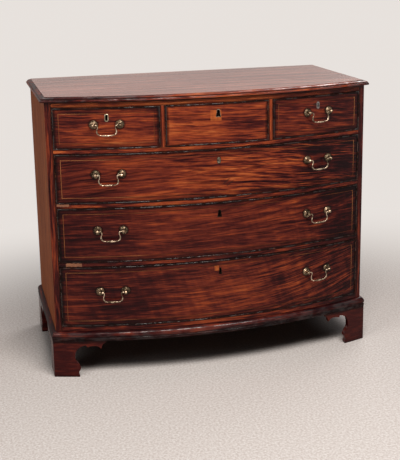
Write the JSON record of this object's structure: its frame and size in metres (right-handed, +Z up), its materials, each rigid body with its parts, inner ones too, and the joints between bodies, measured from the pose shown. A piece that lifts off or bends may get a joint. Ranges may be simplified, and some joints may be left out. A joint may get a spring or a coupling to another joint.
{
  "type": "bow front chest of drawers",
  "caption": "Bow front chest with short drawers over long ones, moulded top edge and base, shaped bracket feet and swan-neck bail handles.",
  "frame": {"origin": "on the floor under the middle of the chest, at the bottom centre of its bounding box", "axes": "+X runs along the width, to the right of someone who faces the chest, +Y from the front to the back, +Z up; the drawers open towards -Y"},
  "size_m": [1.068, 0.556, 0.9],
  "materials": {
    "mahogany": "figured red brown veneer under old French polish, darker at the edges, with brighter orange streaks",
    "oak": "plain, unpolished, darkened with age",
    "pine": "plain, unpolished, darkened with age",
    "brass": "cast and tarnished, bright where hands rub it"
  },
  "bodies": {
    "carcass": {"top": "mahogany", "side_left": "mahogany", "side_right": "mahogany", "back_boards": "pine", "top_rail": "mahogany", "rail_upper": "mahogany", "rail_middle": "mahogany", "rail_lower": "mahogany", "bottom_rail": "mahogany", "divider_left": "mahogany", "divider_right": "mahogany", "base_front": "mahogany", "base_left": "mahogany", "base_right": "mahogany", "foot_front_left": "mahogany", "foot_front_right": "mahogany", "foot_back_left": "mahogany", "foot_back_right": "mahogany"},
    "handle_long_lower_left": {"bail_long_lower_left": "brass"},
    "handle_long_lower_right": {"bail_long_lower_right": "brass"},
    "drawer_long_lower": {"long_lower_front": "mahogany", "long_lower_box": "oak", "long_lower_bottom": "pine", "post_long_lower_left_left": "brass", "post_long_lower_left_right": "brass", "post_long_lower_right_left": "brass", "post_long_lower_right_right": "brass"},
    "handle_long_middle_left": {"bail_long_middle_left": "brass"},
    "handle_long_middle_right": {"bail_long_middle_right": "brass"},
    "drawer_long_middle": {"long_middle_front": "mahogany", "long_middle_box": "oak", "long_middle_bottom": "pine", "post_long_middle_left_left": "brass", "post_long_middle_left_right": "brass", "post_long_middle_right_left": "brass", "post_long_middle_right_right": "brass"},
    "handle_long_upper_left": {"bail_long_upper_left": "brass"},
    "handle_long_upper_right": {"bail_long_upper_right": "brass"},
    "drawer_long_upper": {"long_upper_front": "mahogany", "long_upper_box": "oak", "long_upper_bottom": "pine", "post_long_upper_left_left": "brass", "post_long_upper_left_right": "brass", "post_long_upper_right_left": "brass", "post_long_upper_right_right": "brass"},
    "handle_short_left": {"bail_short_left": "brass"},
    "drawer_short_left": {"short_left_front": "mahogany", "short_left_box": "oak", "short_left_bottom": "pine", "post_short_left_left": "brass", "post_short_left_right": "brass"},
    "drawer_short_centre": {"short_centre_front": "mahogany", "short_centre_box": "oak", "short_centre_bottom": "pine"},
    "handle_short_right": {"bail_short_right": "brass"},
    "drawer_short_right": {"short_right_front": "mahogany", "short_right_box": "oak", "short_right_bottom": "pine", "post_short_right_left": "brass", "post_short_right_right": "brass"}
  },
  "joints": [
    {"name": "long_lower_slide", "type": "slide", "parent": "carcass", "child": "drawer_long_lower", "axis": [0, -1, 0], "range_m": [0, 0.33]},
    {"name": "long_lower_left_bail", "type": "hinge", "parent": "drawer_long_lower", "child": "handle_long_lower_left", "pos_m": [-0.34409, -0.24441, 0.28362], "axis": [-0.9781, 0.2079, 0], "range_deg": [-18, 198]},
    {"name": "long_lower_right_bail", "type": "hinge", "parent": "drawer_long_lower", "child": "handle_long_lower_right", "pos_m": [0.34409, -0.24441, 0.28362], "axis": [-0.9781, -0.2079, 0], "range_deg": [-18, 198]},
    {"name": "long_middle_slide", "type": "slide", "parent": "carcass", "child": "drawer_long_middle", "axis": [0, -1, 0], "range_m": [0, 0.33]},
    {"name": "long_middle_left_bail", "type": "hinge", "parent": "drawer_long_middle", "child": "handle_long_middle_left", "pos_m": [-0.34409, -0.24441, 0.4819], "axis": [-0.9781, 0.2079, 0], "range_deg": [-18, 198]},
    {"name": "long_middle_right_bail", "type": "hinge", "parent": "drawer_long_middle", "child": "handle_long_middle_right", "pos_m": [0.34409, -0.24441, 0.4819], "axis": [-0.9781, -0.2079, 0], "range_deg": [-18, 198]},
    {"name": "long_upper_slide", "type": "slide", "parent": "carcass", "child": "drawer_long_upper", "axis": [0, -1, 0], "range_m": [0, 0.33]},
    {"name": "long_upper_left_bail", "type": "hinge", "parent": "drawer_long_upper", "child": "handle_long_upper_left", "pos_m": [-0.34409, -0.24441, 0.66015], "axis": [-0.9781, 0.2079, 0], "range_deg": [-18, 198]},
    {"name": "long_upper_right_bail", "type": "hinge", "parent": "drawer_long_upper", "child": "handle_long_upper_right", "pos_m": [0.34409, -0.24441, 0.66015], "axis": [-0.9781, -0.2079, 0], "range_deg": [-18, 198]},
    {"name": "short_left_slide", "type": "slide", "parent": "carcass", "child": "drawer_short_left", "axis": [0, -1, 0], "range_m": [0, 0.33]},
    {"name": "short_left_bail", "type": "hinge", "parent": "drawer_short_left", "child": "handle_short_left", "pos_m": [-0.34409, -0.24441, 0.81437], "axis": [-0.9781, 0.2079, 0], "range_deg": [-18, 198]},
    {"name": "short_centre_slide", "type": "slide", "parent": "carcass", "child": "drawer_short_centre", "axis": [0, -1, 0], "range_m": [0, 0.33]},
    {"name": "short_right_slide", "type": "slide", "parent": "carcass", "child": "drawer_short_right", "axis": [0, -1, 0], "range_m": [0, 0.33]},
    {"name": "short_right_bail", "type": "hinge", "parent": "drawer_short_right", "child": "handle_short_right", "pos_m": [0.34409, -0.24441, 0.81437], "axis": [-0.9781, -0.2079, 0], "range_deg": [-18, 198]}
  ]
}
